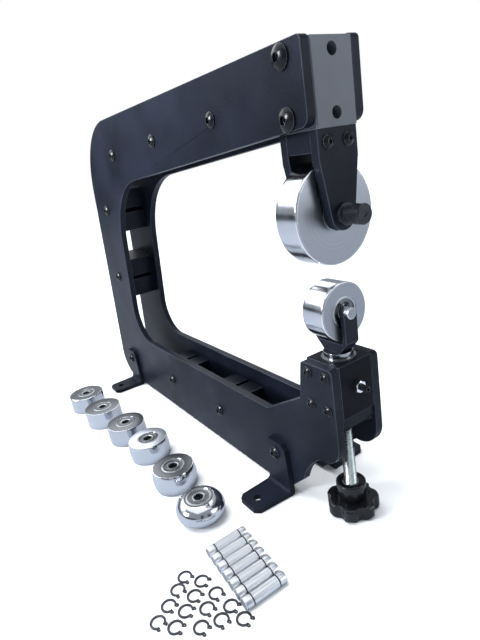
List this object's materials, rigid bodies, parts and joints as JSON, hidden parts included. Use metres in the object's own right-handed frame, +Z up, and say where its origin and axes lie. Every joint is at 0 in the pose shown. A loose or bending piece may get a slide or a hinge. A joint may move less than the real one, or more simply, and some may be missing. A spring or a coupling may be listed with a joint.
{
  "type": "english wheel",
  "caption": "Benchtop metal-shaping wheel: C-shaped plate frame, large free-turning upper wheel, screw-raised anvil wheel, bench feet, and loose spare anvils, pins and clips.",
  "frame": {"origin": "centre of the four bench-bolt holes, on the bench surface under the feet", "axes": "+X towards the wheels at the open front of the frame, +Y towards the far side plate, +Z up"},
  "size_m": [0.5651, 0.2855, 0.405],
  "materials": {
    "black_paint": "fine textured satin powder coat",
    "satin_black": "satin black",
    "black_oxide": "black oxide, slightly oily",
    "bright_steel": "polished",
    "satin_steel": "satin",
    "zinc": "zinc plated",
    "black_plastic": "semi-gloss moulded"
  },
  "bodies": {
    "frame": {"near_side_plate": "black_paint", "far_side_plate": "black_paint", "upper_arm_spacers": "black_paint", "column_spacers": "black_paint", "lower_arm_spacers": "black_paint", "nose_block": "satin_black", "guide_block": "black_paint", "nut_plate": "black_paint", "nut_plate_screws": "black_oxide", "near_plate_screws": "black_oxide", "far_plate_screws": "black_oxide", "nose_cross_bolts": "black_oxide", "near_tower_screws": "black_oxide", "far_tower_screws": "black_oxide", "front_near_foot": "black_paint", "front_far_foot": "black_paint", "rear_near_foot": "black_paint", "rear_far_foot": "black_paint", "foot_screws": "black_oxide", "fork_crown": "black_paint", "crown_screws": "black_oxide", "front_fork_ear": "black_paint", "rear_fork_ear": "black_paint", "fork_ear_screws": "black_oxide", "upper_axle": "black_oxide", "upper_axle_clip": "satin_steel", "upper_axle_shims": "satin_steel", "post_bush": "bright_steel", "spare_anvil_1": "bright_steel", "spare_anvil_2": "bright_steel", "spare_anvil_3": "bright_steel", "spare_anvil_4": "bright_steel", "spare_anvil_5": "bright_steel", "spare_anvil_6": "bright_steel", "spare_anvil_bearings": "satin_steel", "spare_pins": "satin_steel", "spare_clips": "satin_steel"},
    "upper_wheel": {"upper_wheel": "bright_steel", "upper_wheel_bearings": "satin_steel"},
    "lifting_post": {"anvil_post": "bright_steel", "anvil_yoke": "black_paint", "yoke_screw": "black_oxide", "anvil_pin": "satin_steel", "anvil_pin_clips": "satin_steel"},
    "anvil": {"mounted_anvil": "bright_steel", "mounted_anvil_bearings": "satin_steel"},
    "adjuster": {"adjuster_rod": "zinc", "star_knob": "black_plastic", "knob_insert": "satin_steel"},
    "clamp_screw": {"clamp_screw": "black_oxide"},
    "clamp_nut": {"clamp_nut": "bright_steel"}
  },
  "joints": [
    {"name": "upper_wheel_spin", "type": "hinge", "parent": "frame", "child": "upper_wheel", "pos_m": [0.268, 0, 0.283], "axis": [1, 0, 0], "continuous": true},
    {"name": "post_lift", "type": "slide", "parent": "frame", "child": "lifting_post", "axis": [0, 0, 1], "range_m": [0, 0.0145]},
    {"name": "anvil_spin", "type": "hinge", "parent": "lifting_post", "child": "anvil", "pos_m": [0.268, 0, 0.203], "axis": [1, 0, 0], "continuous": true},
    {"name": "knob_turn", "type": "hinge", "parent": "lifting_post", "child": "adjuster", "pos_m": [0.268, 0, 0.05], "axis": [0, 0, 1], "range_deg": [0, 2990]},
    {"name": "clamp_screw_turn", "type": "hinge", "parent": "frame", "child": "clamp_screw", "pos_m": [0.29, 0, 0.138], "axis": [1, 0, 0], "range_deg": [0, 180]},
    {"name": "clamp_nut_turn", "type": "hinge", "parent": "frame", "child": "clamp_nut", "pos_m": [0.2896, 0, 0.138], "axis": [1, 0, 0], "range_deg": [0, 180]}
  ],
  "couplings": [
    {"joint": "knob_turn", "follows": "post_lift", "rad_per_m": 3590.4}
  ]
}
